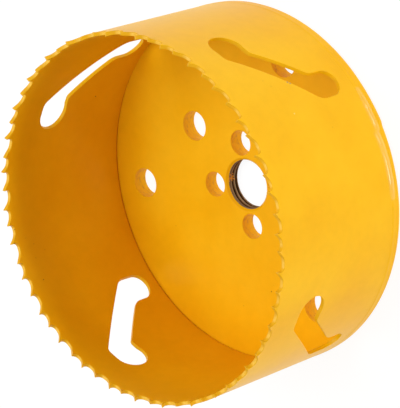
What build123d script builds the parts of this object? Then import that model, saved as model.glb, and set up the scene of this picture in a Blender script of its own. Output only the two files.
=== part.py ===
from build123d import *
from math import atan2, cos, degrees, radians, sin, sqrt, tan
import os

# Large hole saw for a threaded arbor: a toothed and slotted cup wall, rolled from strip,
# stands on a thick drilled back plate and is welded to it all the way round.
# All sizes are in millimetres and degrees. The saw stands on its back plate with the mouth
# up: Z is the bore axis, Z = 0 is the back face, and X runs through one outer hole.

# --- back plate ---
BODY_D = 101.5  # outside diameter of the wall and of the plate
PLATE_T = 4.5  # thickness of the back plate
PLATE_EDGE = 1.4  # height and depth of the plate's broken back edge
BEAD_W = 3.0  # height of the weld bead along the axis
BEAD_PROUD = 0.3  # how far the weld bead stands out of the wall
BORE_D = 14.3  # core of the 5/8 in - 18 arbor thread
SINK_D = 16.4  # mouth of the bore's countersink inside the cup
BACK_SINK_D = 15.6  # mouth of the bore's countersink on the back face
PIN_D = 7.1  # drive-pin holes
PIN_COUNT = 4
PIN_PCD = 23.6
OUTER_D = 8.4  # outer holes
OUTER_COUNT = 3
OUTER_PCD = 78.6
SINGLE_D = 8.4  # single hole between the bore and the rim
SINGLE_R = 23.5  # its distance from the axis
SINGLE_ANGLE = -45.0

# --- wall ---
WALL_T = 1.1
INSIDE_DEPTH = 44.6  # plate's inner face to the tooth tips
SEAM_CHAMFER = 0.3  # broken edge at the wall's foot, which leaves a thin groove

# --- teeth ---
TOOTH_COUNT = 62
GAP_ANGLES = (5.09, 5.96, 6.44)  # short, medium and long gap of the variable pitch
GAP_DEPTHS = (1.4, 1.8, 1.95)  # depth of the gullet in each of those gaps
FIRST_TOOTH = 252.88  # angle of the first tooth after the wall's butt joint
RAKE = 2.0  # forward lean of the cutting faces
RELIEF = 39.0  # slope of the tooth backs
FACE_ROOT_R = 1.25  # gullet's radius under the cutting face
BACK_ROOT_R = 3.0  # gullet's radius where it runs out into the next tooth's back
TIP_LAND = 0.18  # flat left on each tip
SET = 0.25  # sideways bend of each tip, outward and inward in turn
SET_SHARE = 0.9  # bent length of the teeth as a share of the shallowest gullet

# --- slots ---
SLOT_COUNT = 4
SLOT_ANGLE = 47.4  # angle of the first slot's middle
SLOT_FOOT = 8.25  # lowest point of a slot above the back face
SLOT_W = 28.6  # width and height of the box round a slot
SLOT_H = 29.4
LOWER_LOBE_R = 4.0
UPPER_LOBE_R = 4.8
FOOT_H = 8.9  # height of the slot's lower end, up to the slanted band's upper edge
HEAD_W = 9.0  # width of the slot's upper end, from the band to the far side
HEAD_H = 9.3  # height of the slot's upper end, down to the level neck's floor
BAND_CORNER_R = 2.6  # rounding of the two corners on the band's upper edge
LOWER_NECK_R = 4.0  # rounding where the lower lobe runs into the band
UPPER_NECK_R = 1.8  # rounding where the band runs into the level neck

OUTSIDE_R = BODY_D / 2
INSIDE_R = OUTSIDE_R - WALL_T
TIP_Z = PLATE_T + INSIDE_DEPTH
BEND_Z = TIP_Z - SET_SHARE * min(GAP_DEPTHS)


def radial_plane(angle):
    """Return the plane through the axis at an angle, with its x axis pointing outward."""
    outward = Vector(cos(radians(angle)), sin(radians(angle)), 0)
    return Plane(origin=(0, 0, 0), x_dir=outward, z_dir=outward.cross(Vector(0, 0, 1)))


def wall_plane(angle, height):
    """Return a plane inside the wall, square to the radius at an angle, with y upward."""
    outward = Vector(cos(radians(angle)), sin(radians(angle)), 0)
    inner_point = outward * CUT_START_R + Vector(0, 0, height)
    return Plane(origin=inner_point, x_dir=Vector(0, 0, 1).cross(outward), z_dir=outward)


# Radial cuts start inside the cup, where even a slot's far edges have left the wall,
# and end outside the outward set teeth.
CUT_START_R = sqrt(INSIDE_R**2 - (SLOT_W / 2) ** 2) - WALL_T
CUT_LENGTH = OUTSIDE_R + WALL_T + SET - CUT_START_R

# --- layout of the teeth: angle of each tooth, then width and depth of the gap after it ---
tooth_angles = [FIRST_TOOTH]
for index in range(TOOTH_COUNT - 1):
    tooth_angles.append(tooth_angles[-1] + GAP_ANGLES[index % len(GAP_ANGLES)])
gap_angles = [GAP_ANGLES[index % len(GAP_ANGLES)] for index in range(TOOTH_COUNT - 1)]
gap_depths = [GAP_DEPTHS[index % len(GAP_DEPTHS)] for index in range(TOOTH_COUNT - 1)]
# The last gap lies over the wall's butt joint and closes the circle.
gap_angles.append(360 - sum(gap_angles))
gap_depths.append(GAP_DEPTHS[0])

# --- gullet profiles: cutting face of one tooth, round root, sloping back of the next ---
face_run = FACE_ROOT_R / tan(radians(45 + RAKE / 2))  # floor taken up by the face's radius
gullet_profiles = []
for gap, depth in zip(gap_angles, gap_depths):
    half_span = OUTSIDE_R * sin(radians(gap / 2)) - TIP_LAND / 2
    floor_start = -half_span - depth * tan(radians(RAKE))
    floor_end = half_span - depth / tan(radians(RELIEF))
    # The back's radius uses at most nine tenths of the floor that the other one leaves.
    back_run = 0.9 * (floor_end - floor_start - face_run)
    back_root_r = min(BACK_ROOT_R, back_run / tan(radians(RELIEF / 2)))
    gullet_profiles.append((half_span, floor_start, floor_end, back_root_r))

# --- back plate with the weld bead round its rim ---
facet = PLATE_EDGE * (1 - sqrt(0.5))  # middle corner of the broken edge lies on its arc
with BuildPart() as back_plate:
    with BuildSketch(Plane.XZ):
        with BuildLine():
            Polyline(
                (0, 0),
                (OUTSIDE_R - PLATE_EDGE, 0),
                (OUTSIDE_R - facet, facet),
                (OUTSIDE_R, PLATE_EDGE),
                (OUTSIDE_R, PLATE_T - BEAD_W / 2),
                (OUTSIDE_R + BEAD_PROUD, PLATE_T),
                (OUTSIDE_R, PLATE_T + BEAD_W / 2),
                (OUTSIDE_R, PLATE_T),
                (0, PLATE_T),
                close=True,
            )
        make_face()
    revolve(axis=Axis.Z)
    with Locations((0, 0, PLATE_T)):
        Hole(radius=BORE_D / 2)
        with PolarLocations(PIN_PCD / 2, PIN_COUNT):
            Hole(radius=PIN_D / 2)
        with PolarLocations(OUTER_PCD / 2, OUTER_COUNT):
            Hole(radius=OUTER_D / 2)
        with PolarLocations(SINGLE_R, 1, start_angle=SINGLE_ANGLE):
            Hole(radius=SINGLE_D / 2)
    bore_rims = back_plate.edges().filter_by(GeomType.CIRCLE).sort_by_distance((0, 0, 0))
    bore_rims = bore_rims.filter_by(lambda rim: abs(rim.radius - BORE_D / 2) < 1e-3)
    chamfer(bore_rims.sort_by(Axis.Z)[-1], length=(SINK_D - BORE_D) / 2)
    chamfer(bore_rims.sort_by(Axis.Z)[0], length=(BACK_SINK_D - BORE_D) / 2)
back_plate.part.label = "back_plate"

# --- cutters for the gullets: one radial prism for each gap between two teeth ---
with BuildPart() as gullets:
    for angle, gap, depth, profile in zip(tooth_angles, gap_angles, gap_depths, gullet_profiles):
        half_span, floor_start, floor_end, back_root_r = profile
        with BuildSketch(wall_plane(angle + gap / 2, TIP_Z)) as gullet:
            with BuildLine():
                Polyline(
                    (-half_span, 0),
                    (floor_start, -depth),
                    (floor_end, -depth),
                    (half_span, 0),
                    (half_span, WALL_T),
                    (-half_span, WALL_T),
                    close=True,
                )
            make_face()
            face_root, back_root = gullet.vertices().sort_by(Axis.Y)[:2].sort_by(Axis.X)
            fillet(face_root, radius=FACE_ROOT_R)
            fillet(back_root, radius=back_root_r)
    extrude(amount=CUT_LENGTH)

# --- slot outline: a slanted band with a round lobe at each end ---
upper_lobe = (SLOT_W - UPPER_LOBE_R, SLOT_H - UPPER_LOBE_R)
band_foot = (0, FOOT_H)
band_head = (SLOT_W - HEAD_W, SLOT_H)
lower_neck = (2 * LOWER_LOBE_R, 2 * LOWER_LOBE_R)
upper_neck = (SLOT_W - HEAD_W, SLOT_H - HEAD_H)
with BuildSketch() as slot_outline:
    with BuildLine():
        Polyline(
            (0, LOWER_LOBE_R),
            (2 * LOWER_LOBE_R, LOWER_LOBE_R),
            lower_neck,
            upper_neck,
            (upper_lobe[0], upper_neck[1]),
            (upper_lobe[0], SLOT_H),
            band_head,
            band_foot,
            close=True,
        )
    make_face()
    with Locations((LOWER_LOBE_R, LOWER_LOBE_R)):
        Circle(LOWER_LOBE_R)
    with Locations(upper_lobe):
        Circle(UPPER_LOBE_R)
    for corner, radius in (
        (band_foot, BAND_CORNER_R),
        (band_head, BAND_CORNER_R),
        (lower_neck, LOWER_NECK_R),
        (upper_neck, UPPER_NECK_R),
    ):
        fillet(slot_outline.vertices().sort_by_distance(corner)[0], radius=radius)

with BuildPart() as slots:
    for index in range(SLOT_COUNT):
        with BuildSketch(wall_plane(SLOT_ANGLE + index * 360 / SLOT_COUNT, SLOT_FOOT)):
            with Locations((-SLOT_W / 2, 0)):
                add(slot_outline.sketch)
    extrude(amount=CUT_LENGTH)

# --- cup wall: tube with set teeth, less the gullets and the slots ---
with BuildPart() as saw_shell:
    with BuildSketch(Plane.XZ):
        with BuildLine():
            Polyline(
                (INSIDE_R + SEAM_CHAMFER, PLATE_T),
                (OUTSIDE_R, PLATE_T),
                (OUTSIDE_R, BEND_Z),
                (INSIDE_R, BEND_Z),
                (INSIDE_R, PLATE_T + SEAM_CHAMFER),
                close=True,
            )
        make_face()
    revolve(axis=Axis.Z)

    # Each tooth is a short sector of rim that runs from one gullet's root to the next.
    sector_ends = []
    for angle, gap, profile in zip(tooth_angles, gap_angles, gullet_profiles):
        floor_middle = (profile[1] + profile[2]) / 2
        sector_ends.append(angle + gap / 2 + degrees(atan2(floor_middle, OUTSIDE_R)))
    sectors = []
    for index, end in enumerate(sector_ends):
        start = sector_ends[index - 1] - (360 if index == 0 else 0)
        lean = SET if index % 2 == 0 else -SET
        with BuildSketch(radial_plane(start)):
            with BuildLine():
                Polyline(
                    (INSIDE_R, BEND_Z),
                    (OUTSIDE_R, BEND_Z),
                    (OUTSIDE_R + lean, TIP_Z),
                    (INSIDE_R + lean, TIP_Z),
                    close=True,
                )
            make_face()
        sectors.append(revolve(axis=Axis.Z, revolution_arc=end - start, mode=Mode.PRIVATE))
    add(sectors)
    add(gullets.part, mode=Mode.SUBTRACT)
    add(slots.part, mode=Mode.SUBTRACT)
saw_shell.part.label = "saw_shell"

os.makedirs("parts", exist_ok=True)
for piece in (saw_shell.part, back_plate.part):
    export_step(piece, f"parts/{piece.label}.step")
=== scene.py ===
"""Dressed model of a painted hole saw on a plain pale floor.

The saw is a toothed cup wall welded onto a thick drilled back plate. Mesh code here is in
millimetres and degrees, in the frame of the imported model, and becomes metres on building.
"""

from __future__ import annotations

import logging
import math
from dataclasses import dataclass, field
from enum import Enum

import bpy
import numpy as np
from mathutils import Matrix, Vector, noise
from mathutils.geometry import delaunay_2d_cdt

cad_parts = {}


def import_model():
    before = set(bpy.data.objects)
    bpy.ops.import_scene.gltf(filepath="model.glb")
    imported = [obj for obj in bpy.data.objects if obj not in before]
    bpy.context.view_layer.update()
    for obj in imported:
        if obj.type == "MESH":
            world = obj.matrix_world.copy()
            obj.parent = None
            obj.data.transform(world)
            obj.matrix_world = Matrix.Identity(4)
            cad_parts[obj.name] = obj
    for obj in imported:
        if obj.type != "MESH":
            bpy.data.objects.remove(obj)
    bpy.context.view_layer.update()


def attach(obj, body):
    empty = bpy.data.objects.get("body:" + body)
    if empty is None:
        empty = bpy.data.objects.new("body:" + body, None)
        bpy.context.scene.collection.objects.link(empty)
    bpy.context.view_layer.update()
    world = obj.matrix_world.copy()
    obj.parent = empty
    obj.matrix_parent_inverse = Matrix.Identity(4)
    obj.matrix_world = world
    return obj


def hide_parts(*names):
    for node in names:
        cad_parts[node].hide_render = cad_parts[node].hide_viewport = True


LOG = logging.getLogger("hole_saw")
MM = 0.001
# How a cut edge is marked for the finishes, by the angle round its rounding: up to 1 at the
# arris, where the coat draws thin and the teeth take painted shade, and 1.7 on the flat of the cut.
# Gullets' floors that look up reach 3, where they take a painted highlight.
EDGE_MARKS = {0: 0.0, 25: 0.3, 50: 0.75, 72: 1.0, 90: 1.7}
FLAT = 90  # angle round a rounding at which the cut's flat begins


class Side(Enum):
    """Face of the rolled strip that a surface belongs to."""

    OUTSIDE = 1
    INSIDE = -1


class Coat(Enum):
    """Finish of a face, in the order of a piece's materials."""

    ENAMEL = "enamel"
    STEEL = "bare steel"
    DUSTED = "dusted steel"
    FLOWED = "flowed enamel"


# --- small geometry helpers ---


def turn(degrees: float) -> float:
    """Return an angle in radians."""
    return math.radians(degrees)


def toward(angle: float) -> Vector:
    """Return the level direction at an angle in degrees."""
    return Vector((math.cos(turn(angle)), math.sin(turn(angle)), 0))


def upward(height: float) -> Vector:
    """Return a step straight up."""
    return Vector((0, 0, height))


def held(value: float) -> float:
    """Return a value held between 0 and 1."""
    return min(1.0, max(0.0, value))


def ripple(x: float, y: float, z: float, seed: float = 0.0) -> float:
    """Return smooth noise of about -1 to 1 at a point."""
    return noise.noise(Vector((x + 17.3 * seed, y - 9.1 * seed, z + 4.7 * seed)))


def arc_points(centre: tuple, radius: float, start: float, end: float, step: float) -> list[tuple]:
    """Return points along an arc.

    Args:
        centre: Middle of the arc.
        radius: Radius of the arc.
        start: First angle in degrees.
        end: Last angle in degrees; the arc turns left where it is larger.
        step: Longest distance between points.

    Returns:
        Points as (x, y) pairs, both ends included.
    """
    count = max(2, math.ceil(abs(turn(end - start)) * radius / step))
    angles = [turn(start + (end - start) * i / count) for i in range(count + 1)]
    return [(centre[0] + radius * math.cos(a), centre[1] + radius * math.sin(a)) for a in angles]


def rounded_corner(before: tuple, corner: tuple, after: tuple, radius: float, step: float) -> list[tuple]:
    """Return the arc that rounds a corner between two straight runs.

    Args:
        before: A point on the run into the corner.
        corner: The sharp corner.
        after: A point on the run out of the corner.
        radius: Radius of the rounding.
        step: Longest distance between points.

    Returns:
        Points along the arc from the first run to the second.
    """
    into = (Vector(corner) - Vector(before)).normalized()
    out = (Vector(after) - Vector(corner)).normalized()
    bend = math.atan2(into.x * out.y - into.y * out.x, into.dot(out))
    run = radius * math.tan(abs(bend) / 2)
    side = 1 if bend > 0 else -1
    first = Vector(corner) - into * run
    centre = first + Vector((-into.y, into.x)) * radius * side
    start = math.degrees(math.atan2(first.y - centre.y, first.x - centre.x))
    return arc_points(tuple(centre), radius, start, start + math.degrees(bend), step)


def filled_runs(points: list, longest: float, closed: bool) -> list[tuple]:
    """Return the points with more between any two that stand too far apart.

    Args:
        points: Corners of the path.
        longest: Longest run that is left undivided.
        closed: Whether the last point joins the first.

    Returns:
        The denser path, without repeated points.
    """
    filled = []
    ends = points[1:] + (points[:1] if closed else [])
    for a, b in zip(points, ends):
        length = math.dist(a, b)
        if length < 1e-6:
            continue
        count = max(1, math.ceil(length / longest))
        shares = [i / count for i in range(count)]
        filled += [(a[0] + (b[0] - a[0]) * s, a[1] + (b[1] - a[1]) * s) for s in shares]
    if not closed:
        filled.append(points[-1])
    return filled


def left_normals(path: list, closed: bool) -> list[Vector]:
    """Return the direction to the left of a path at each point, lengthened at corners.

    Args:
        path: Points of the path as (x, y) pairs.
        closed: Whether the last point joins the first.

    Returns:
        One vector a point; moving along it keeps the distance to both neighbours' runs.
    """
    normals = []
    for i, here in enumerate(path):
        before = path[i - 1] if (closed or i) else None
        after = path[(i + 1) % len(path)] if (closed or i + 1 < len(path)) else None
        runs = [(before, here)] if before else []
        runs += [(here, after)] if after else []
        lefts = [Vector((a[1] - b[1], b[0] - a[0])).normalized() for a, b in runs]
        mean = sum(lefts, Vector((0, 0))).normalized()
        normals.append(mean / max(0.5, mean.dot(lefts[0])))
    return normals


def inside(points: np.ndarray, outline: np.ndarray) -> np.ndarray:
    """Return which points lie inside a closed outline.

    Args:
        points: Array of points, one a row.
        outline: Array of the outline's corners, one a row.

    Returns:
        One boolean a point.
    """
    x, y = points[:, :1], points[:, 1:2]
    x1, y1 = outline[:, 0], outline[:, 1]
    x2, y2 = np.roll(x1, -1), np.roll(y1, -1)
    crosses = (y1 > y) != (y2 > y)
    rise = np.where(y2 == y1, 1.0, y2 - y1)
    return (crosses & (x < (x2 - x1) * (y - y1) / rise + x1)).sum(axis=1) % 2 == 1


def room(points: np.ndarray, outline: np.ndarray) -> np.ndarray:
    """Return each point's distance to the nearest corner of an outline."""
    return np.sqrt(((points[:, None, :] - outline[None, :, :]) ** 2).sum(axis=2)).min(axis=1)


# --- mesh that carries its own surface normals ---


@dataclass
class SteelMesh:
    """Points with true surface normals and the faces between them, in millimetres."""

    points: list[Vector] = field(default_factory=list)
    normals: list[Vector] = field(default_factory=list)
    edges: list[float] = field(default_factory=list)
    faces: list[tuple] = field(default_factory=list)
    coats: list[Coat] = field(default_factory=list)

    def point(self, place: Vector, normal: Vector, edge: float = 0.0) -> int:
        """Add a point.

        Args:
            place: Where it is.
            normal: Direction of the surface there.
            edge: Its mark for the finishes, as EDGE_MARKS explains.

        Returns:
            The point's index.
        """
        self.points.append(place)
        self.normals.append(normal.normalized())
        self.edges.append(edge)
        return len(self.points) - 1

    def face(self, corners: tuple, coat: Coat = Coat.ENAMEL) -> None:
        """Add a face, turned so that it looks the way its points' normals do.

        Args:
            corners: Indices of its points, in order round it.
            coat: Its finish.
        """
        if len(set(corners)) < 3:
            return
        a, b, c = (self.points[i] for i in corners[:3])
        facing = (b - a).cross(c - a)
        if len(corners) > 3:
            facing += (c - a).cross(self.points[corners[3]] - a)
        wanted = sum((self.normals[i] for i in corners), Vector())
        turned = tuple(corners) if facing.dot(wanted) > 0 else tuple(reversed(corners))
        self.faces.append(turned)
        self.coats.append(coat)

    def band(self, first: list, second: list, coat: Coat | list = Coat.ENAMEL) -> None:
        """Join two closed rings of the same number of points with faces.

        Args:
            first: Indices round one ring.
            second: Indices round the other.
            coat: Finish of all the faces, or a list with one for each.
        """
        coats = [coat] * len(first) if isinstance(coat, Coat) else coat
        for i, own in enumerate(coats):
            j = (i + 1) % len(first)
            self.face((first[i], second[i], second[j], first[j]), own)

    def build(self, name: str, finishes: dict, slot: str) -> bpy.types.Object:
        """Make the Blender object, on the root body.

        Args:
            name: Name of the piece.
            finishes: Material of each coat.
            slot: Name of a material slot of the record; not used.

        Returns:
            The new object.
        """
        used = [coat for coat in Coat if coat in self.coats]
        numbers = {coat: number for number, coat in enumerate(used)}
        mesh = bpy.data.meshes.new(name)
        mesh.from_pydata([p * MM for p in self.points], [], self.faces)
        for coat in used:
            mesh.materials.append(finishes[coat])
        mesh.polygons.foreach_set("material_index", [numbers[coat] for coat in self.coats])
        mesh.polygons.foreach_set("use_smooth", [True] * len(self.faces))
        mesh.attributes.new("edge", "FLOAT", "POINT").data.foreach_set("value", self.edges)
        mesh.update()
        mesh.normals_split_custom_set_from_vertices(self.normals)
        piece = bpy.data.objects.new(name, mesh)
        bpy.context.scene.collection.objects.link(piece)
        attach(piece, "root")
        LOG.info("%s: %d points, %d faces", name, len(self.points), len(self.faces))
        return piece


def triangles_between(outer: np.ndarray, holes: list, extra: np.ndarray) -> tuple[np.ndarray, list]:
    """Divide a flat region with holes into triangles.

    Args:
        outer: Closed outline round the region.
        holes: Closed outlines of its holes.
        extra: More points to use inside the region.

    Returns:
        All points, with the outlines' first in their order, and the triangles' indices.
    """
    loops = [outer, *holes]
    points = np.vstack([*loops, extra]) if len(extra) else np.vstack(loops)
    edges, base = [], 0
    for loop in loops:
        edges += [(base + i, base + (i + 1) % len(loop)) for i in range(len(loop))]
        base += len(loop)
    made = delaunay_2d_cdt([Vector(p) for p in points], edges, [], 0, 1e-7, True)
    places, faces, sources = made[0], made[2], made[3]
    back = {new: olds[0] for new, olds in enumerate(sources) if olds}
    corners = np.array([place[:] for place in places])
    triangles = [t for t in faces if all(i in back for i in t)]
    middles = np.array([corners[list(t)].mean(axis=0) for t in triangles])
    keep = inside(middles, outer)
    for hole in holes:
        keep &= ~inside(middles, hole)
    return points, [tuple(back[i] for i in t) for t, k in zip(triangles, keep) if k]


# --- finishes ---


def linear(colour: str) -> tuple[float, ...]:
    """Return a linear RGBA colour from an sRGB hex value such as "#F7B21A"."""
    parts = [int(colour[i : i + 2], 16) / 255 for i in (1, 3, 5)]
    return (*(p / 12.92 if p <= 0.04045 else ((p + 0.055) / 1.055) ** 2.4 for p in parts), 1.0)


def add_node(
    owner: bpy.types.Material | bpy.types.World,
    kind: str,
    inputs: dict | None = None,
    settings: dict | None = None,
    stops: tuple = (),
) -> bpy.types.Node:
    """Add one node with its settings and links.

    Args:
        owner: Material or world that owns the node tree.
        kind: Blender's name for the node's type, without its "ShaderNode".
        inputs: By the name or number of an input, a value, an output socket, or a node
            whose first output is meant.
        settings: Attributes of the node.
        stops: Stops of its colour ramp, as pairs of position and hex colour.

    Returns:
        The new node.
    """
    node = owner.node_tree.nodes.new("ShaderNode" + kind)
    for key, value in (settings or {}).items():
        setattr(node, key, value)
    if stops:
        elements = node.color_ramp.elements
        while len(elements) < len(stops):
            elements.new(0.5)
        for element, (place, colour) in zip(elements, stops):
            element.position = place
            element.color = linear(colour)
    for key, value in (inputs or {}).items():
        source = value.outputs[0] if isinstance(value, bpy.types.Node) else value
        if isinstance(source, bpy.types.NodeSocket):
            owner.node_tree.links.new(source, node.inputs[key])
        else:
            node.inputs[key].default_value = source
    return node


def empty_material(name: str) -> bpy.types.Material:
    """Return a new material with no nodes.

    Args:
        name: Name of the real material and of how its surface was made.

    Returns:
        The material.
    """
    material = bpy.data.materials.new(name)
    material.use_nodes = True
    material.node_tree.nodes.clear()
    return material


@dataclass(frozen=True)
class Speck:
    """A mark in the enamel: where it is, in mm, how wide, its colour and how strong."""

    place: tuple
    width: float
    colour: str
    strength: float


@dataclass(frozen=True)
class SprayedEnamel:
    """Gloss enamel sprayed over steel and stoved: one even coat with a slight orange peel,
    which breaks highlights softly, and thinner, paler paint on the cut edges. The arrises are
    darker, partly as painted shade on the teeth's faces that look sideways, and the gullets'
    floors that look up take a painted highlight."""

    name: str = "gloss_enamel_sprayed_and_stoved"
    body: str = "#EFB30C"
    deep: str = "#EBAC08"
    pale: str = "#F2B914"
    # darker arrises: thin coat, and painted shade on the teeth's faces that look sideways
    arris_and_shade: str = "#CC930A"
    cut: str = "#EEB21E"
    # painted highlight on the gullets' floors that look up
    painted_highlight: str = "#F9C854"
    dust: str = "#9A5E14"
    roughness: float = 0.34
    gloss: float = 0.1  # the coat's own reflection is weaker than a clear varnish's
    cloud_mm: float = 22.0  # slow changes in the coat's thickness
    mottle_mm: float = 2.5  # pigment mottle, drawn coarser than the real one so that it shows
    worn_mm: float = 0.9  # patches where the coat has drawn off the edges
    peel_mm: float = 1.4  # cells of the orange peel
    fray_mm: float = 0.4  # ragged outlines of the specks
    dust_mm: float = 7.0  # cells that may hold a grain of dust
    specks: tuple = (
        Speck((41.2, -27.7, 17.0), 0.55, "#6B3E10", 0.85),
        Speck((45.8, 19.2, 42.9), 0.45, "#7A4A14", 0.8),
        Speck((49.5, 3.9, 47.4), 0.6, "#5A340C", 0.9),
        Speck((49.1, 7.6, 48.4), 0.6, "#5A340C", 0.9),
        Speck((48.8, 9.3, 41.8), 0.5, "#A86010", 0.4),
        Speck((48.2, 11.7, 38.5), 0.5, "#A86010", 0.35),
        Speck((47.9, 13.1, 42.6), 0.5, "#A86010", 0.35),
        Speck((49.1, 7.1, 44.1), 0.45, "#A86010", 0.4),
        Speck((-39.2, -32.3, 25.3), 0.75, "#8A8474", 0.85),
        Speck((-39.5, -31.9, 24.7), 0.75, "#8A8474", 0.85),
        Speck((-44.2, -25.0, 29.8), 0.5, "#FFE9A8", 0.7),
        Speck((-37.6, -34.1, 32.7), 0.4, "#B07A1C", 0.5),
        Speck((-39.0, -32.5, 31.5), 0.45, "#B07A1C", 0.6),
        Speck((-3.9, 30.2, 4.5), 0.5, "#7A4A10", 0.8),
    )

    def make(self) -> bpy.types.Material:
        """Dress the enamel.

        Returns:
            The enamel as a material.
        """
        m = empty_material(self.name)
        rgba, times = {"data_type": "RGBA"}, {"operation": "MULTIPLY"}
        place = add_node(m, "TexCoord").outputs["Object"]
        edge = add_node(m, "Attribute", settings={"attribute_name": "edge"}).outputs["Fac"]
        patterns = (
            (self.cloud_mm, {"Detail": 3.0, "Roughness": 0.55}),
            (self.mottle_mm, {"Detail": 4.0, "Roughness": 0.6}),
            (self.worn_mm, {"Detail": 2.0}),
            (self.peel_mm, {"Detail": 2.0}),
            (self.fray_mm, {"Detail": 2.0}),
        )
        clouds, mottle, worn, peel, ragged = (
            add_node(m, "TexNoise", {"Vector": place, "Scale": 1 / (width * MM), **grain})
            for width, grain in patterns
        )
        # Slow clouds a few per cent apart in tone, and the pigment's mottle over them.
        tones = ((0.3, self.deep), (0.5, self.body), (0.72, self.pale))
        colour = add_node(m, "ValToRGB", {"Fac": clouds}, stops=tones)
        reach = {"From Min": 0.3, "From Max": 0.7, "To Min": 0.975, "To Max": 1.015}
        tone = add_node(m, "MapRange", {"Value": mottle, **reach})
        painted = add_node(m, "HueSaturation", {"Color": colour, "Value": tone})
        # The coat draws thin and dark over the arrises, which on the teeth is also painted shade on faces
        # that look sideways, and lies dry and pale on the cut flats; the gullets' floors that look up take a
        # painted highlight.
        reach = {"From Min": 0.3, "From Max": 0.65, "To Min": 0.35, "To Max": 0.95}
        patchy = add_node(m, "MapRange", {"Value": worn, **reach})
        for start, end, shade in ((0.0, 1.0, self.arris_and_shade), (1.1, 1.7, self.cut), (2.0, 3.0, self.painted_highlight)):
            mark = add_node(m, "MapRange", {"Value": edge, "From Min": start, "From Max": end})
            thin = add_node(m, "Math", {0: mark, 1: patchy}, times)
            layers = {"Factor": thin, 6: painted, 7: linear(shade)}
            painted = add_node(m, "Mix", layers, rgba).outputs[2]
        # Fine dust caught in the coat: sparse faint dots a third of a millimetre wide.
        cells = add_node(m, "TexVoronoi", {"Vector": place, "Scale": 1 / (self.dust_mm * MM)})
        reach = {"From Min": 0.018, "From Max": 0.034, "To Min": 0.35, "To Max": 0.0}
        dot = add_node(m, "MapRange", {"Value": cells, **reach})
        chosen = add_node(m, "SeparateColor", {"Color": cells.outputs["Color"]})
        rare = add_node(m, "Math", {0: chosen, 1: 0.35}, {"operation": "LESS_THAN"})
        grain = add_node(m, "Math", {0: dot, 1: rare}, times)
        painted = add_node(m, "Mix", {"Factor": grain, 6: painted, 7: linear(self.dust)}, rgba).outputs[2]
        for speck in self.specks:
            painted = self.marked(m, (place, ragged), painted, speck)
        # The orange peel is shallow and only bends the gloss, which the clouds vary.
        bump = add_node(m, "Bump", {"Height": peel, "Distance": 0.012 * MM, "Strength": 0.6})
        low, high = self.roughness - 0.04, self.roughness + 0.05
        reach = {"From Min": 0.3, "From Max": 0.7, "To Min": low, "To Max": high}
        gloss = add_node(m, "MapRange", {"Value": clouds, **reach})
        look = {"Base Color": painted, "Roughness": gloss, "IOR": 1.5, "Specular IOR Level": self.gloss}
        shader = add_node(m, "BsdfPrincipled", {**look, "Normal": bump})
        add_node(m, "OutputMaterial", {"Surface": shader})
        return m

    def marked(
        self, m: bpy.types.Material, pattern: tuple, under: bpy.types.NodeSocket, speck: Speck
    ) -> bpy.types.NodeSocket:
        """Lay one speck over the coat.

        Args:
            m: The enamel's material.
            pattern: Socket of the position, and the noise that frays an outline.
            under: Colour socket below the speck.
            speck: The mark.

        Returns:
            The colour socket with the speck in it.
        """
        place, ragged = pattern
        middle = tuple(c * MM for c in speck.place)
        width = speck.width * MM
        far = add_node(m, "VectorMath", {0: place, 1: middle}, {"operation": "DISTANCE"}).outputs["Value"]
        frayed = add_node(m, "Math", {0: ragged, 1: width * 0.5, 2: far}, {"operation": "MULTIPLY_ADD"})
        reach = {"From Min": width * 0.45, "From Max": width * 0.75, "To Min": speck.strength, "To Max": 0.0}
        spot = add_node(m, "MapRange", {"Value": frayed, **reach}, {"interpolation_type": "SMOOTHSTEP"})
        layers = {"Factor": spot, 6: under, 7: linear(speck.colour)}
        return add_node(m, "Mix", layers, {"data_type": "RGBA"}).outputs[2]


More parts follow.
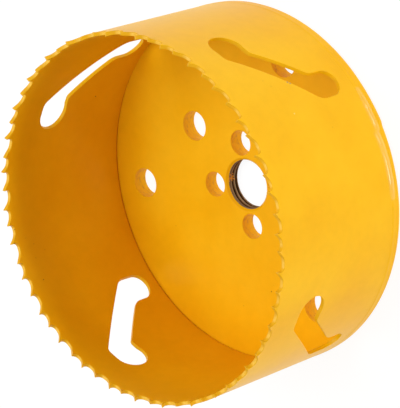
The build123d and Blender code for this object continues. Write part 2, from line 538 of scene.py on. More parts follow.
@dataclass(frozen=True)
class TappedSteel:
    """Bare carbon steel, cut with a tap: dark oxide in the roots, bright scraped crests, and
    smears of enamel that ran in at the mouth."""

    root: str = "#2A1A0C"
    crest: str = "#8E7250"
    stain: str = "#56391E"
    smear: str = "#E8A20C"
    roughness: float = 0.45
    grime_mm: float = 1.6  # patches of oxide
    torn_mm: float = 0.8  # torn outline of the smears
    smear_at: tuple = (7.2, -1.5, 2.6)  # middle of the enamel that ran in on one side

    def make(self) -> bpy.types.Material:
        """Dress the tapped steel.

        Returns:
            The tapped steel as a material.
        """
        m = empty_material("tapped_carbon_steel_oxidised")
        place = add_node(m, "TexCoord").outputs["Object"]
        edge = add_node(m, "Attribute", settings={"attribute_name": "edge"}).outputs["Fac"]
        grime, torn = (
            add_node(m, "TexNoise", {"Vector": place, "Scale": 1 / (width * MM), "Detail": detail})
            for width, detail in ((self.grime_mm, 5.0), (self.torn_mm, 3.0))
        )
        # The edge attribute holds the thread's height: 0 in the roots, 1 on the crests.
        height = add_node(m, "Math", {0: grime, 1: 0.5, 2: edge}, {"operation": "MULTIPLY_ADD"})
        shades = ((0.25, self.root), (0.7, self.stain), (1.0, self.crest))
        bare = add_node(m, "ValToRGB", {"Fac": height}, stops=shades)
        # Enamel ran in on one side, and a little all round both mouths.
        middle = tuple(c * MM for c in self.smear_at)
        near = add_node(m, "VectorMath", {0: place, 1: middle}, {"operation": "DISTANCE"}).outputs["Value"]
        depth = add_node(m, "SeparateXYZ", {"Vector": place}).outputs["Z"]
        names = ("Value", "From Min", "From Max", "To Min", "To Max")
        side, mouth, foot = (
            add_node(m, "MapRange", dict(zip(names, values)))
            for values in (
                (near, 0.4 * MM, 3.2 * MM, 0.5, 0.0),
                (depth, 3.8 * MM, 4.0 * MM, 0.0, 1.0),
                (depth, 0.1 * MM, 0.3 * MM, 0.6, 0.0),
            )
        )
        reach = add_node(m, "Math", {0: side, 1: mouth}, {"operation": "MAXIMUM"})
        reach = add_node(m, "Math", {0: reach, 1: foot}, {"operation": "MAXIMUM"})
        cover = add_node(m, "Math", {0: reach, 1: torn}, {"operation": "ADD"})
        paint = add_node(m, "MapRange", {"Value": cover, "From Min": 0.86, "From Max": 0.98})
        layers = {"Factor": paint, 6: bare, 7: linear(self.smear)}
        colour = add_node(m, "Mix", layers, {"data_type": "RGBA"}).outputs[2]
        metal = add_node(m, "Math", {0: 1.0, 1: paint}, {"operation": "SUBTRACT"})
        bump = add_node(m, "Bump", {"Height": grime, "Distance": 0.03 * MM, "Strength": 0.7})
        look = {"Base Color": colour, "Metallic": metal, "Roughness": self.roughness, "Normal": bump}
        shader = add_node(m, "BsdfPrincipled", look)
        add_node(m, "OutputMaterial", {"Surface": shader})
        return m


@dataclass(frozen=True)
class DustedSteel:
    """Drilled steel that the spray only dusted: thin dry enamel, paler and mottled, matt."""

    coat: str = "#FAC20C"
    dry: str = "#F2BC1E"
    bare: str = "#DCA22C"
    roughness: float = 0.5
    gloss: float = 0.08
    fleck_mm: float = 1.3  # width of the dry flecks
    fleck_squash: float = 2.2  # drill marks run round the hole, so the flecks are flat

    def make(self) -> bpy.types.Material:
        """Dress the dusted steel.

        Returns:
            The dusted steel as a material.
        """
        m = empty_material("dry_sprayed_enamel_on_drilled_steel")
        place = add_node(m, "TexCoord").outputs["Object"]
        flat = add_node(m, "Mapping", {"Vector": place, "Scale": (1.0, 1.0, self.fleck_squash)})
        flecks = add_node(m, "TexNoise", {"Vector": flat, "Scale": 1 / (self.fleck_mm * MM), "Detail": 4.0})
        shades = ((0.3, self.bare), (0.44, self.dry), (0.62, self.coat))
        colour = add_node(m, "ValToRGB", {"Fac": flecks}, stops=shades)
        bump = add_node(m, "Bump", {"Height": flecks, "Distance": 0.04 * MM, "Strength": 0.7})
        look = {"Base Color": colour, "Roughness": self.roughness, "Specular IOR Level": self.gloss}
        shader = add_node(m, "BsdfPrincipled", {**look, "IOR": 1.5, "Normal": bump})
        add_node(m, "OutputMaterial", {"Surface": shader})
        return m


# --- cup wall ---


@dataclass
class ToothedCup:
    """Cup wall: strip rolled into a ring, with set teeth along its rim and four cut slots."""

    outside_r: float = 50.75
    thickness: float = 1.1
    foot_z: float = 4.5
    tip_z: float = 49.1
    tooth_count: int = 62
    gap_angles: tuple = (5.09, 5.96, 6.44)
    gap_depths: tuple = (1.4, 1.8, 1.95)
    first_tooth: float = 252.88
    rake: float = 2.0
    relief: float = 39.0
    face_root_r: float = 1.25
    back_root_r: float = 3.0
    tip_land: float = 0.18
    set_out: float = 0.25
    set_curve: float = 1.4  # power by which the set grows up the tooth
    bent_height: float = 1.26
    slot_count: int = 4
    slot_angle: float = 47.4
    slot_foot: float = 8.25
    slot_width: float = 28.6
    edge_r: float = 0.15  # rounding that the coat gives a slot's edge
    tooth_edge_r: float = 0.15
    tip_edge_r: float = 0.06
    full_depth: float = 0.9  # depth below the tips from which the rounding is full
    painted_highlight_mark: float = 1.3  # painted highlight on the gullets' floors that look up, as a mark above a cut flat's
    lit_face_power: int = 10  # how squarely a face has to look up to be painted as lit
    painted_shade_spared: float = 0.8  # share of an arris's painted shade that such a face is spared
    slot_mark: float = 0.12  # share of the marks that a slot's edge gets
    seam: float = 0.6  # broken edge inside the foot
    foot_columns: int = 240
    row_step: float = 2.4  # spacing of the skins' inner points, up and along
    column_step: float = 1.5
    bent_step: float = 0.45  # spacing along the rows that carry the set
    mesh: SteelMesh = field(default_factory=SteelMesh)
    turns: list[float] = field(default_factory=list)  # unrolled angle of each point, in radians

    def __post_init__(self) -> None:
        """Lay out the teeth round the rim."""
        self.inside_r = self.outside_r - self.thickness
        order = [i % len(self.gap_angles) for i in range(self.tooth_count - 1)]
        gaps = [self.gap_angles[i] for i in order]
        self.gaps = gaps + [360 - sum(gaps)]
        self.depths = [self.gap_depths[i] for i in order] + [self.gap_depths[0]]
        self.angles = [self.first_tooth + sum(self.gaps[:i]) for i in range(self.tooth_count)]
        self.bend_z = self.tip_z - self.bent_height
        self.ends = []  # angle where each tooth's sector ends, in the middle of a gullet's floor
        for angle, gap, depth in zip(self.angles, self.gaps, self.depths):
            _, start, end = self.gullet(gap, depth)
            self.ends.append(angle + gap / 2 + math.degrees((start + end) / 2 / self.outside_r))

    def gullet(self, gap: float, depth: float) -> tuple[float, float, float]:
        """Return where a gullet's corners lie across its gap.

        Args:
            gap: Angle between the two tips, in degrees.
            depth: Depth of the gullet.

        Returns:
            Half the width between the tips, and where the floor starts and ends.
        """
        half = self.outside_r * math.sin(turn(gap / 2)) - self.tip_land / 2
        start = -half - depth * math.tan(turn(self.rake))
        return half, start, half - depth / math.tan(turn(self.relief))

    def lean(self, angle: float, height: float) -> tuple[float, float]:
        """Return how far the set moves the rim outward.

        Args:
            angle: Unrolled angle in degrees, from the first tooth on.
            height: Height above the back face.

        Returns:
            The sideways shift, and its slope with height.
        """
        if height <= self.bend_z:
            return 0.0, 0.0
        tooth = int(np.searchsorted(self.ends, angle)) % self.tooth_count
        bend = self.set_out if tooth % 2 == 0 else -self.set_out
        share = (height - self.bend_z) / self.bent_height
        slope = bend * self.set_curve * share ** (self.set_curve - 1) / self.bent_height
        return bend * share**self.set_curve, slope

    def wall_point(
        self, centre: float, across: float, height: float, radius: float, facing: tuple, edge: float = 0.0
    ) -> int:
        """Add a point of the wall.

        Args:
            centre: Angle of the cut's middle in degrees.
            across: Distance from that middle, square to the radius there.
            height: Height above the back face.
            radius: Distance from the axis, before the set.
            facing: Normal as shares outward, across and up.
            edge: Its mark for the finishes, as EDGE_MARKS explains.

        Returns:
            The point's index.
        """
        unrolled = centre + math.degrees(math.asin(across / radius))
        shift, slope = self.lean(unrolled, height)
        outward, along = toward(unrolled), toward(centre + 90)
        normal = outward * facing[0] + along * facing[1] + upward(facing[2] - slope * facing[0])
        self.turns.append(turn(unrolled))
        return self.mesh.point(outward * (radius + shift) + upward(height), normal, edge)

    def edge_rings(self, edge: list, painted_highlight_mark: float = 0.0) -> list[list[int]]:
        """Wrap the coat's rounding round a cut edge.

        Args:
            edge: Points as (centre, across, height, normal to the gap, rounding).
            painted_highlight_mark: How much painted highlight the cut takes where it looks up; 0 for a
                slot's quiet edge.

        Returns:
            Rings of points from the outer skin round to the inner one.
        """
        rings = []
        steps = [(Side.OUTSIDE, a) for a in EDGE_MARKS] + [(Side.INSIDE, a) for a in reversed(EDGE_MARKS)]
        for side, angle in steps:
            ring = []
            level, square = math.cos(turn(angle)), math.sin(turn(angle))
            for centre, across, height, out, rounding in edge:
                back, sunk = rounding * (1 - square), rounding * (1 - level)
                radius = self.outside_r - sunk if side is Side.OUTSIDE else self.inside_r + sunk
                unit = out.normalized()
                # Faces that look up are spared the arris's painted shade and take the painted highlight.
                up = max(0.0, unit.y) ** self.lit_face_power
                mark = EDGE_MARKS[angle] * (1 - self.painted_shade_spared * up if painted_highlight_mark else self.slot_mark)
                if angle == FLAT and painted_highlight_mark:
                    mark = EDGE_MARKS[angle] + painted_highlight_mark * up
                spot = (across - out.x * back, height - out.y * back)
                facing = (side.value * level, *(unit * square))
                ring.append(self.wall_point(centre, *spot, radius, facing, mark))
            rings.append(ring)
        return rings

    def rim(self) -> list[tuple]:
        """Lay out the toothed edge, once round from the first tooth's tip.

        Returns:
            Its points, as edge_rings takes them.
        """
        points, centres = [], []
        for angle, gap, depth in zip(self.angles, self.gaps, self.depths):
            half, start, end = self.gullet(gap, depth)
            taken = self.face_root_r / math.tan(turn(45 + self.rake / 2))
            left = 0.9 * (end - start - taken)  # floor that the second radius may use
            back_r = min(self.back_root_r, left / math.tan(turn(self.relief / 2)))
            tip, first, second, next_tip = (-half, 0.0), (start, -depth), (end, -depth), (half, 0.0)
            face = rounded_corner(tip, first, second, self.face_root_r, 0.22)
            back = rounded_corner(first, second, next_tip, back_r, 0.3)
            path = filled_runs([tip, *face, *back, next_tip], 0.35, False)
            middle = -self.outside_r * math.sin(turn(gap / 2))
            points += [(middle, 0.0), *path]
            centres += [angle + gap / 2] * (len(path) + 1)
        flat = [
            (turn(c) * self.outside_r + self.outside_r * math.asin(p[0] / self.outside_r), p[1])
            for c, p in zip(centres, points)
        ]
        girth = turn(360) * self.outside_r
        around = [(flat[-1][0] - girth, flat[-1][1]), *flat, (flat[0][0] + girth, flat[0][1])]
        edge = []
        for centre, (across, height), out in zip(centres, points, left_normals(around, False)[1:-1]):
            depth = min(1.0, -height / self.full_depth)
            rounding = self.tip_edge_r + (self.tooth_edge_r - self.tip_edge_r) * depth
            edge.append((centre, across, self.tip_z + height, out, rounding))
        return edge

    def slot_outline(self) -> list[tuple]:
        """Draw a slot, left round: a slanted band with a round lobe at each end.

        Returns:
            Its outline, from the lower left corner of the box round it.
        """
        lobe, lobe_side, lobe_r = (4.1, 4.05), (7.95, 4.05), 3.85
        neck, ledge = (7.95, 8.0), (19.6, 20.1)
        upper, upper_r, upper_start = (23.8, 24.6), 4.8, -110.4
        head, foot = (19.6, 29.4), (0.1, 9.0)
        return filled_runs(
            arc_points(lobe, lobe_r, 180, 360, 0.35)
            + rounded_corner(lobe_side, neck, ledge, 4.0, 0.35)
            + rounded_corner(neck, ledge, (upper[0], ledge[1]), 1.8, 0.3)
            + arc_points(upper, upper_r, upper_start, 90, 0.35)
            + rounded_corner((upper[0], head[1]), head, foot, 2.6, 0.3)
            + rounded_corner(head, foot, (0.25, lobe[1]), 4.8, 0.3),
            0.9,
            True,
        )

    def slots(self) -> list[list[tuple]]:
        """Place the slots round the wall.

        Returns:
            The edge of each slot, as edge_rings takes it.
        """
        path = [(x - self.slot_width / 2, y + self.slot_foot) for x, y in self.slot_outline()]
        outs = left_normals(path, True)
        edges = []
        for index in range(self.slot_count):
            centre = self.slot_angle + 360 * index / self.slot_count
            centre += 360 if centre < self.first_tooth else 0
            edges.append([(centre, x, z, out, self.edge_r) for (x, z), out in zip(path, outs)])
        return edges

    def foot_rings(self, columns: list) -> list[list[int]]:
        """Make the wall's foot, from the outer skin under it to the inner skin.

        Args:
            columns: Unrolled angles of the points along the foot, in degrees.

        Returns:
            Rings of points from outside to inside.
        """
        rings = []
        under = self.inside_r + self.seam
        for radius, facing in ((self.outside_r, (1.0, 0.0, 0.0)), (under, (0.0, 0.0, -1.0))):
            rings.append([self.wall_point(c, 0.0, self.foot_z, radius, facing) for c in columns])
        sizes = [self.seam * (0.08 + 0.92 * (1 - self.seam_fill(c))) for c in columns]
        for angle in (90, 60, 30, 0):
            inward, down = math.cos(turn(angle)), math.sin(turn(angle))
            ring = []
            for c, size in zip(columns, sizes):
                height = self.foot_z + size * (1 - down) + 0.01
                radius = self.inside_r + size * (1 - inward)
                ring.append(self.wall_point(c, 0.0, height, radius, (-inward, 0.0, -down)))
            rings.append(ring)
        return rings

    def skin(self, side: Side, rim: list, slots: list, foot: list) -> None:
        """Fill one skin of the wall between the rim, the slots and the foot.

        Args:
            side: The skin.
            rim: Ring of points along the teeth.
            slots: Rings of points round the slots.
            foot: Ring of points along the foot.
        """
        radius = self.outside_r if side is Side.OUTSIDE else self.inside_r
        full = turn(360)

        def flat(index: int, more: float = 0.0) -> tuple[float, float]:
            """Return a point's place on the unrolled skin."""
            return ((self.turns[index] + more) * radius, self.mesh.points[index].z)

        def plain(x: float, z: float) -> int:
            """Add a point of the skin at a place on it, unrolled."""
            return self.wall_point(math.degrees(x / radius), 0.0, z, radius, (side.value, 0.0, 0.0))

        start, end = self.turns[rim[0]] * radius, (self.turns[rim[0]] + full) * radius
        heights = list(np.arange(self.foot_z + 2.0, self.tip_z - 2.6, self.row_step))
        seam = [plain(start, z) for z in heights]
        loop = [(i, 0.0) for i in rim] + [(rim[0], full)] + [(i, full) for i in reversed(seam)]
        loop += [(foot[0], full)] + [(i, 0.0) for i in (*reversed(foot[1:]), foot[0], *seam)]
        outer = np.array([flat(*spot) for spot in loop])
        holes = [np.array([flat(i) for i in ring]) for ring in slots]
        known = [i for i, _ in loop] + [i for ring in slots for i in ring]
        grid = [(x, z) for z in heights for x in np.arange(start + 1.0, end - 0.8, self.column_step)]
        bent = (self.tip_z - 2.3, self.bend_z - 0.1, self.bend_z + 0.2, self.bend_z + 0.55)
        grid += [(x, z) for z in bent for x in np.arange(start + 0.3, end - 0.3, self.bent_step)]
        extra = np.array(grid)
        good = inside(extra, outer)
        for hole in holes:
            good &= ~inside(extra, hole) & (room(extra, hole) > 0.7)
        extra = extra[good]
        extra = extra[room(extra, outer) > 0.22]
        points, triangles = triangles_between(outer, holes, extra)
        known += [plain(x, float(z)) for x, z in points[len(known) :]]
        for triangle in triangles:
            self.mesh.face(tuple(known[i] for i in triangle))

    def seam_fill(self, angle: float) -> float:
        """Return how far paint fills the seam at the wall's foot.

        Args:
            angle: Angle in degrees.

        Returns:
            A share: low where the seam lies open, along some 140 degrees of the foot.
        """
        opened = (angle + 12 + 6 * ripple(angle / 9, 0, 0, 3)) % 360
        if opened < 110:
            return held(0.15 - opened / 40 + 0.35 * (opened > 105))
        return 1.0 if opened < 300 else min(1.0, max(0.2, (350 - opened) / 24))

    def build(self, finishes: dict) -> bpy.types.Object:
        """Build and dress the wall.

        Args:
            finishes: Material of each coat. The open seam at the foot, which the spray
                didn't reach, is bare steel, and the rest enamel.

        Returns:
            The wall's object.
        """
        rim = self.edge_rings(self.rim(), self.painted_highlight_mark)
        slots = [self.edge_rings(edge) for edge in self.slots()]
        for rings in (rim, *slots):
            for first, second in zip(rings, rings[1:]):
                self.mesh.band(first, second)
        step = 360 / self.foot_columns
        foot = self.foot_rings([self.first_tooth + step * i for i in range(self.foot_columns)])
        self.mesh.band(foot[0], foot[1])
        for first, second in zip(foot[1:], foot[2:]):
            self.mesh.band(first, second, Coat.STEEL)
        self.skin(Side.OUTSIDE, rim[0], [rings[0] for rings in slots], foot[0])
        self.skin(Side.INSIDE, rim[-1], [rings[-1] for rings in slots], foot[-1])
        piece = self.mesh.build("toothed_cup", finishes, "painted_steel")
        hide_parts("saw_shell")
        return piece


# --- back plate ---


@dataclass
class DrilledPlate:
    """Back plate: thick disc with a rolled-over back edge, drilled holes and a tapped bore."""

    outside_r: float = 50.75
    thickness: float = 4.5
    back_edge_r: float = 1.4
    front_edge_r: float = 0.04
    hole_edge_r: float = 0.13
    bore_r: float = 7.0
    thread_depth: float = 0.62
    pitch: float = 1.411
    sink_r: float = 7.65
    back_sink_r: float = 7.3
    pin_r: float = 3.55
    pin_circle_r: float = 11.8
    pin_count: int = 4
    outer_r: float = 4.2
    outer_circle_r: float = 39.3
    outer_count: int = 3
    single_r: float = 4.2
    single_circle_r: float = 23.5
    single_angle: float = -45.0
    weld_start: float = 198.6  # where weld metal ran furthest over the back edge
    rim_columns: int = 480
    bore_columns: int = 144
    bore_rows: int = 76
    hole_columns: int = 56
    mesh: SteelMesh = field(default_factory=SteelMesh)

    def holes(self) -> list[tuple]:
        """Lay out the plain holes.

        Returns:
            Each hole's middle and radius.
        """
        pins, outers = range(self.pin_count), range(self.outer_count)
        places = [(self.pin_circle_r, 360 / len(pins) * i, self.pin_r) for i in pins]
        places += [(self.outer_circle_r, 360 / len(outers) * i, self.outer_r) for i in outers]
        places.append((self.single_circle_r, self.single_angle, self.single_r))
        return [((toward(a) * r).xy[:], size) for r, a, size in places]

    def ring(
        self, middle: tuple, radius: float, height: float, facing: tuple, count: int, edge: float
    ) -> list[int]:
        """Add a level ring of points.

        Args:
            middle: Middle of the ring.
            radius: Its radius.
            height: Its height above the back face.
            facing: Normal as shares away from the middle and up.
            count: Number of points.
            edge: Their mark for the finishes, as EDGE_MARKS explains.

        Returns:
            The points' indices.
        """
        made, axis = [], Vector((*middle, height))
        for away in (toward(360 * i / count) for i in range(count)):
            made.append(self.mesh.point(axis + away * radius, away * facing[0] + upward(facing[1]), edge))
        return made

    def hole(self, middle: tuple, radius: float) -> tuple[list, list]:
        """Drill one plain hole, with the coat's rounding at both mouths.

        Args:
            middle: Middle of the hole.
            radius: Its radius.

        Returns:
            The ring on the front face and the ring on the back face.
        """
        rings = []
        steps = [(self.thickness, 1, a) for a in EDGE_MARKS] + [(0.0, -1, a) for a in reversed(EDGE_MARKS)]
        for level, up, angle in steps:
            inward, rise = math.sin(turn(angle)), math.cos(turn(angle))
            outward = radius + self.hole_edge_r * (1 - inward)
            height = level - up * self.hole_edge_r * (1 - rise)
            mark = EDGE_MARKS[angle] * 0.5
            rings.append(self.ring(middle, outward, height, (-inward, up * rise), self.hole_columns, mark))
        for index, (first, second) in enumerate(zip(rings, rings[1:])):
            coat = Coat.DUSTED if 1 < index < len(rings) - 3 else Coat.ENAMEL
            self.mesh.band(first, second, coat)
        return rings[0], rings[-1]

    def bore_radius(self, angle: float, height: float) -> float:
        """Return the bore's radius: the thread, or the countersink where that is wider.

        Args:
            angle: Angle in degrees.
            height: Height above the back face.

        Returns:
            The radius in millimetres.
        """
        phase = (height / self.pitch - angle / 360) % 1
        groove = held((0.9 - abs(phase - 0.5) * 2) / 0.72)
        mouth = held((self.thickness - 0.9 - height) / 0.5)  # the thread runs out at the mouth
        thread = self.bore_r + self.thread_depth * groove * mouth
        return max(thread, self.sink_r - (self.thickness - height), self.back_sink_r - height)

    def bore(self) -> tuple[list, list]:
        """Cut the tapped bore.

        Returns:
            The ring on the front face and the ring on the back face.
        """
        count, lip, top, near = self.bore_columns, 0.1, self.thickness, 0.02
        sunk = top - self.sink_r + self.bore_r  # foot of the front countersink
        rings = [
            self.ring((0, 0), self.sink_r + 0.12, top, (0, 1), count, 0.0),
            self.ring((0, 0), self.sink_r + 0.03, top - near, (-0.35, 0.92), count, 0.0),
        ]
        levels = np.linspace(top - lip, lip, self.bore_rows)
        for height in levels:
            ring = []
            for angle in (360 * i / count for i in range(count)):
                radius, away = self.bore_radius(angle, height), toward(angle)
                up = self.bore_radius(angle, height + near) - self.bore_radius(angle, height - near)
                crest = 0.0 if height > sunk else max(0.0, 1 - (radius - self.bore_r) / self.thread_depth)
                normal = upward(up / (2 * near)) - away
                ring.append(self.mesh.point(away * radius + upward(height), normal, crest))
            rings.append(ring)
        rings.append(self.ring((0, 0), self.back_sink_r + 0.03, near, (-0.35, -0.92), count, 0.5))
        rings.append(self.ring((0, 0), self.back_sink_r + 0.12, 0.0, (0, -1), count, 0.0))
        painted = 1 + int(np.sum(levels > sunk))
        coats = [Coat.ENAMEL] * painted + [Coat.STEEL] * (len(rings) - 3 - painted) + [Coat.ENAMEL] * 2
        for first, second, coat in zip(rings, rings[1:], coats):
            self.mesh.band(first, second, coat)
        return rings[0], rings[-1]

    def rim(self) -> tuple[list, list]:
        """Make the plate's side, with its rolled-over back edge.

        Returns:
            The ring on the front face and the ring on the back face.
        """
        steps = [(self.thickness, self.front_edge_r, 1, a) for a in (0, 45, FLAT)]
        steps += [(height, 0.0, 1, FLAT) for height in (3.6, 2.6)]
        back = [(0.0, self.back_edge_r, -1, a) for a in (FLAT, 78, 66, 54, 42, 30, 18, 8, 0)]
        glossy = len(steps) + 4  # from 30 degrees on, the enamel flowed over the turned edge
        rings = []
        for level, size, up, angle in steps + back:
            outward, rise = math.sin(turn(angle)), math.cos(turn(angle))
            height = level - up * size * (1 - rise)
            ring = []
            for degrees in (360 * i / self.rim_columns for i in range(self.rim_columns)):
                away = toward(degrees)
                out = self.outside_r - size * (1 - outward) + self.flow(degrees, height)
                ring.append(self.mesh.point(away * out + upward(height), away * outward + upward(up * rise)))
            rings.append(ring)
        for index, (first, second) in enumerate(zip(rings, rings[1:])):
            self.mesh.band(first, second, Coat.FLOWED if index > glossy else Coat.ENAMEL)
        return rings[0], rings[-1]

    def flow(self, angle: float, height: float) -> float:
        """Return how far weld metal and thick enamel stand out of the plate's side.

        Args:
            angle: Angle in degrees.
            height: Height above the back face.

        Returns:
            The distance in millimetres.
        """
        past = (angle - self.weld_start) % 360
        run = min(1.0, past / 0.5) * math.exp(-past / 11.0)
        rise = math.exp(-(((height - 0.9) / 1.2) ** 2))
        wave = 0.5 + 0.5 * ripple(9 * math.cos(turn(angle)), 9 * math.sin(turn(angle)), height, 2)
        return rise * (0.3 * run + 0.05 * wave)

    def build(self, finishes: dict) -> bpy.types.Object:
        """Build and dress the plate.

        Args:
            finishes: Material of each coat. The faces are enamel, the tapped bore bare
                steel, the holes' walls dusted and the turned back edge flowed enamel.

        Returns:
            The plate's object.
        """
        rims, bores = self.rim(), self.bore()
        drilled = [self.hole(middle, radius) for middle, radius in self.holes()]
        for level in (0, 1):
            loops = [rims[level], bores[level], *(hole[level] for hole in drilled)]
            flats = [np.array([self.mesh.points[i].xy[:] for i in loop]) for loop in loops]
            known = [i for loop in loops for i in loop]
            for triangle in triangles_between(flats[0], flats[1:], np.empty((0, 2)))[1]:
                self.mesh.face(tuple(known[i] for i in triangle))
        piece = self.mesh.build("drilled_plate", finishes, "painted_steel")
        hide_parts("back_plate")
        return piece


@dataclass
class WeldBead:
    """Weld bead round the joint between wall and plate: low, rippled, with one start and stop."""

    wall_r: float = 50.75
    joint_z: float = 4.5
    height: float = 3.0
    proud: float = 0.3
    drop: float = 1.2  # how far the crest lies below the joint
    flank: float = 0.8  # height of the steep flank above the crest
    fade: float = 2.0  # height over which the bead runs out onto the wall
    start_angle: float = 197.5
    sunk: float = 0.02  # how far the bead's feet lie inside the wall
    buried: float = 0.4  # how far its hidden back lies inside the wall
    columns: int = 900
    mesh: SteelMesh = field(default_factory=SteelMesh)

    def apart(self, angle: float) -> tuple[float, float]:
        """Return how far an angle lies before the bead's start, and how far past it."""
        return (self.start_angle - angle) % 360, (angle - self.start_angle) % 360

    def section(self, angle: float) -> tuple[float, float, float]:
        """Return the bead's sizes at an angle.

        Args:
            angle: Angle in degrees.

        Returns:
            The height of its crest, its reach below that and how far it stands proud.
        """
        x, y = 8 * math.cos(turn(angle)), 8 * math.sin(turn(angle))
        before, after = self.apart(angle)
        kink = math.exp(-((min(before, after) / 1.0) ** 2))
        crest = self.joint_z - self.drop + 0.1 * ripple(x, y, 0.3) + 0.08 * ripple(3 * x, 3 * y, 1.1)
        crest += min(1.0, before / 0.6) * math.exp(-before / 5.0)  # it starts high and settles
        below = self.height * (0.48 + 0.06 * ripple(x * 1.5, y * 1.5, 2.7))
        full = 0.25 + 0.75 * self.built_up(angle)
        proud = self.proud * (0.9 + 0.08 * ripple(2 * x, 2 * y, 5.2) - 0.4 * kink) * full
        return crest, below, proud + self.sunk

    def built_up(self, angle: float) -> float:
        """Return how far the bead stands up where it starts and stops.

        Args:
            angle: Angle in degrees.

        Returns:
            A share: 1 at the start and stop, and 0 on the low, even bead.
        """
        before, after = self.apart(angle)
        return max(0.0, 1 - max(0.0, before - 16) / 6, 1 - max(0.0, after - 8) / 6)

    def profile(self, rise: float, below: float) -> tuple[float, float]:
        """Return the bead's section.

        Args:
            rise: Height above the crest; less than nothing below it.
            below: The bead's reach below the crest.

        Returns:
            How far it stands out and its slope, both as shares of its proud.
        """
        parts = ((1.0, below),) if rise < 0 else ((0.84, self.flank), (0.16, self.fade))
        out = slope = 0.0
        for share, reach in parts:
            if abs(rise) < reach:
                out += share * (0.5 + 0.5 * math.cos(math.pi * rise / reach))
                slope += share * math.pi / 2 * math.sin(math.pi * rise / reach) / reach
        return out, slope

    def build(self, finishes: dict) -> bpy.types.Object:
        """Build and dress the bead.

        Args:
            finishes: Material of each coat. The low, even bead is enamel, and where it
                starts and stops it is flowed enamel.

        Returns:
            The bead's object.
        """
        shares = [i / 6 - 1 for i in range(6)] + [i / 8 * self.flank for i in range(9)]
        shares += [self.flank + (self.fade - self.flank) * i / 3 for i in (1, 2, 3)]
        rings = [[] for _ in range(len(shares) + 2)]
        coats = []
        for angle in (360 * i / self.columns for i in range(self.columns)):
            crest, below, proud = self.section(angle)
            away = toward(angle)
            for ring, share in zip(rings, shares):
                rise = share * below if share < 0 else share
                out, slope = self.profile(rise, below)
                place = away * (self.wall_r - self.sunk + proud * out) + upward(crest + rise)
                ring.append(self.mesh.point(place, away + upward(slope * proud)))
            for ring, rise in zip(rings[-2:], (self.fade * 0.9, -below * 0.9)):
                place = away * (self.wall_r - self.buried) + upward(crest + rise)
                ring.append(self.mesh.point(place, -away))
            coats.append(Coat.FLOWED if self.built_up(angle) > 0.05 else Coat.ENAMEL)
        for first, second in zip(rings, rings[1:] + rings[:1]):
            self.mesh.band(first, second, coats)
        piece = self.mesh.build("weld_bead", finishes, "painted_steel")
        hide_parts("back_plate")
        return piece


# --- floor, light and camera ---


@dataclass(frozen=True)
class Lamp:
    """A soft lamp turned to the saw: angles in degrees, sizes in metres, power in watts."""

    name: str
    azimuth: float
    elevation: float
    distance: float
    width: float
    height: float
    power: float


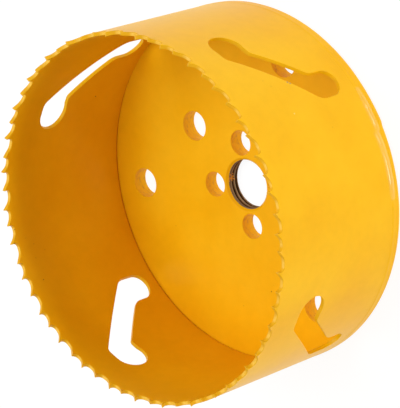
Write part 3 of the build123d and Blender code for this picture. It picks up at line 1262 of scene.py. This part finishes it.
@dataclass(frozen=True)
class Studio:
    """Plain pale floor, soft light from all round and large soft lamps."""

    floor_half: float = 1.6
    card: str = "#D8D8D6"
    shade: str = "#696969"  # how much of the lamps' light, and so of the shadow, the floor shows
    glow: float = 0.9  # share of the floor's white that no shadow takes away
    ambient: float = 0.34
    table: float = 0.52  # light that the card itself gives, as on a light table
    aim_z: float = 0.025
    lamps: tuple = (
        Lamp("low_left", 157.0, 2.1, 0.9, 1.0, 0.08, 2.35),
        Lamp("low_right", 222.0, 2.1, 0.9, 1.0, 0.08, 1.75),
        Lamp("top", 300.0, 76.0, 1.0, 0.9, 0.9, 8.4),
    )
    sensor_mm: float = 36.0
    focal_share: float = 2495.0934 / 408.0  # focal length as a share of the sensor's longer side
    camera_place: tuple = (-0.46605726, -0.11790923, 0.49697696)
    camera_axes: tuple = (
        (-0.72297748, 0.02078986, -0.69055872),
        (0.14032552, -0.97429277, -0.17624511),
        (-0.67647049, -0.22432426, 0.70147438),
    )

    def floor(self) -> bpy.types.Object:
        """Lay the floor.

        Returns:
            The floor's object.
        """
        h = self.floor_half
        mesh = bpy.data.meshes.new("floor")
        mesh.from_pydata([(-h, -h, 0), (h, -h, 0), (h, h, 0), (-h, h, 0)], [], [(0, 1, 2, 3)])
        mesh.materials.append(self.floor_finish())
        floor = bpy.data.objects.new("floor", mesh)
        bpy.context.scene.collection.objects.link(floor)
        return floor

    def seen(self, owner: bpy.types.Material | bpy.types.World) -> bpy.types.Node:
        """Tell the rays to the eye, in reflections and through glass from those that light.

        Args:
            owner: Material or world that owns the node tree.

        Returns:
            A node that gives 1 for what is seen and 0 for what only lights.
        """
        rays = add_node(owner, "LightPath").outputs
        largest = {"operation": "MAXIMUM"}
        direct = add_node(owner, "Math", {0: rays["Is Camera Ray"], 1: rays["Is Glossy Ray"]}, largest)
        return add_node(owner, "Math", {0: direct, 1: rays["Is Transmission Ray"]}, largest)

    def floor_finish(self) -> bpy.types.Material:
        """Dress the floor in matt white card: bright to the eye, with a soft faint shadow.

        Returns:
            The card as a material.
        """
        m = empty_material("matt_white_card")
        sums = []
        for colour, light in ((self.card, self.table), (self.shade, self.glow)):
            matt = add_node(m, "BsdfDiffuse", {"Color": linear(colour)})
            lit = add_node(m, "Emission", {"Color": linear("#FFFFFF"), "Strength": light})
            sums.append(add_node(m, "AddShader", {0: matt, 1: lit}))
        mixed = add_node(m, "MixShader", {0: self.seen(m), 1: sums[0], 2: sums[1]})
        add_node(m, "OutputMaterial", {"Surface": mixed})
        return m

    def surround(self) -> None:
        """Light the scene softly from all round; the eye and reflections see plain white."""
        world = bpy.data.worlds.new("white_room")
        bpy.context.scene.world = world
        world.use_nodes = True
        world.node_tree.nodes.clear()
        soft, white = (
            add_node(world, "Background", {"Color": linear("#FFFFFF"), "Strength": strength})
            for strength in (self.ambient, 1.0)
        )
        mixed = add_node(world, "MixShader", {0: self.seen(world), 1: soft, 2: white})
        add_node(world, "OutputWorld", {"Surface": mixed})

    def hang_lamps(self) -> None:
        """Hang the soft lamps, each turned to the saw."""
        for lamp in self.lamps:
            light = bpy.data.lights.new(lamp.name, "AREA")
            light.shape = "RECTANGLE"
            light.size, light.size_y, light.energy = lamp.width, lamp.height, lamp.power
            hung = bpy.data.objects.new(lamp.name, light)
            tilt = turn(lamp.elevation)
            away = toward(lamp.azimuth) * math.cos(tilt) + upward(math.sin(tilt))
            hung.location = upward(self.aim_z) + away * lamp.distance
            hung.rotation_euler = away.to_track_quat("Z", "Y").to_euler()
            bpy.context.scene.collection.objects.link(hung)

    def camera(self) -> bpy.types.Object:
        """Set up the camera: a long lens, nearly seven hundred millimetres off, rolled on its side.

        Returns:
            The camera's object.
        """
        data = bpy.data.cameras.new("camera")
        data.sensor_width = self.sensor_mm
        data.lens = self.focal_share * self.sensor_mm
        data.clip_start = 0.01
        camera = bpy.data.objects.new("camera", data)
        camera.matrix_world = Matrix.Translation(self.camera_place) @ Matrix(self.camera_axes).to_4x4()
        bpy.context.scene.collection.objects.link(camera)
        bpy.context.scene.camera = camera
        return camera

    def build(self) -> None:
        """Set the stage."""
        self.camera()
        self.floor()
        self.surround()
        self.hang_lamps()
        bpy.context.scene.view_settings.view_transform = "Standard"
        LOG.info("stage: floor, surround and %d lamps", len(self.lamps))


def main() -> None:
    """Build the saw and its stage, in order."""
    logging.basicConfig(level=logging.INFO, format="%(message)s")
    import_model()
    Studio().build()
    finishes = {
        Coat.ENAMEL: SprayedEnamel().make(),
        Coat.STEEL: TappedSteel().make(),
        Coat.DUSTED: DustedSteel().make(),
        # Where the same enamel flowed together it lies smooth, so highlights are small and bright.
        Coat.FLOWED: SprayedEnamel(name="gloss_enamel_flowed_over_weld", roughness=0.12, gloss=0.7).make(),
    }
    ToothedCup().build(finishes)
    DrilledPlate().build(finishes)
    WeldBead().build(finishes)


if __name__ == "__main__":
    main()
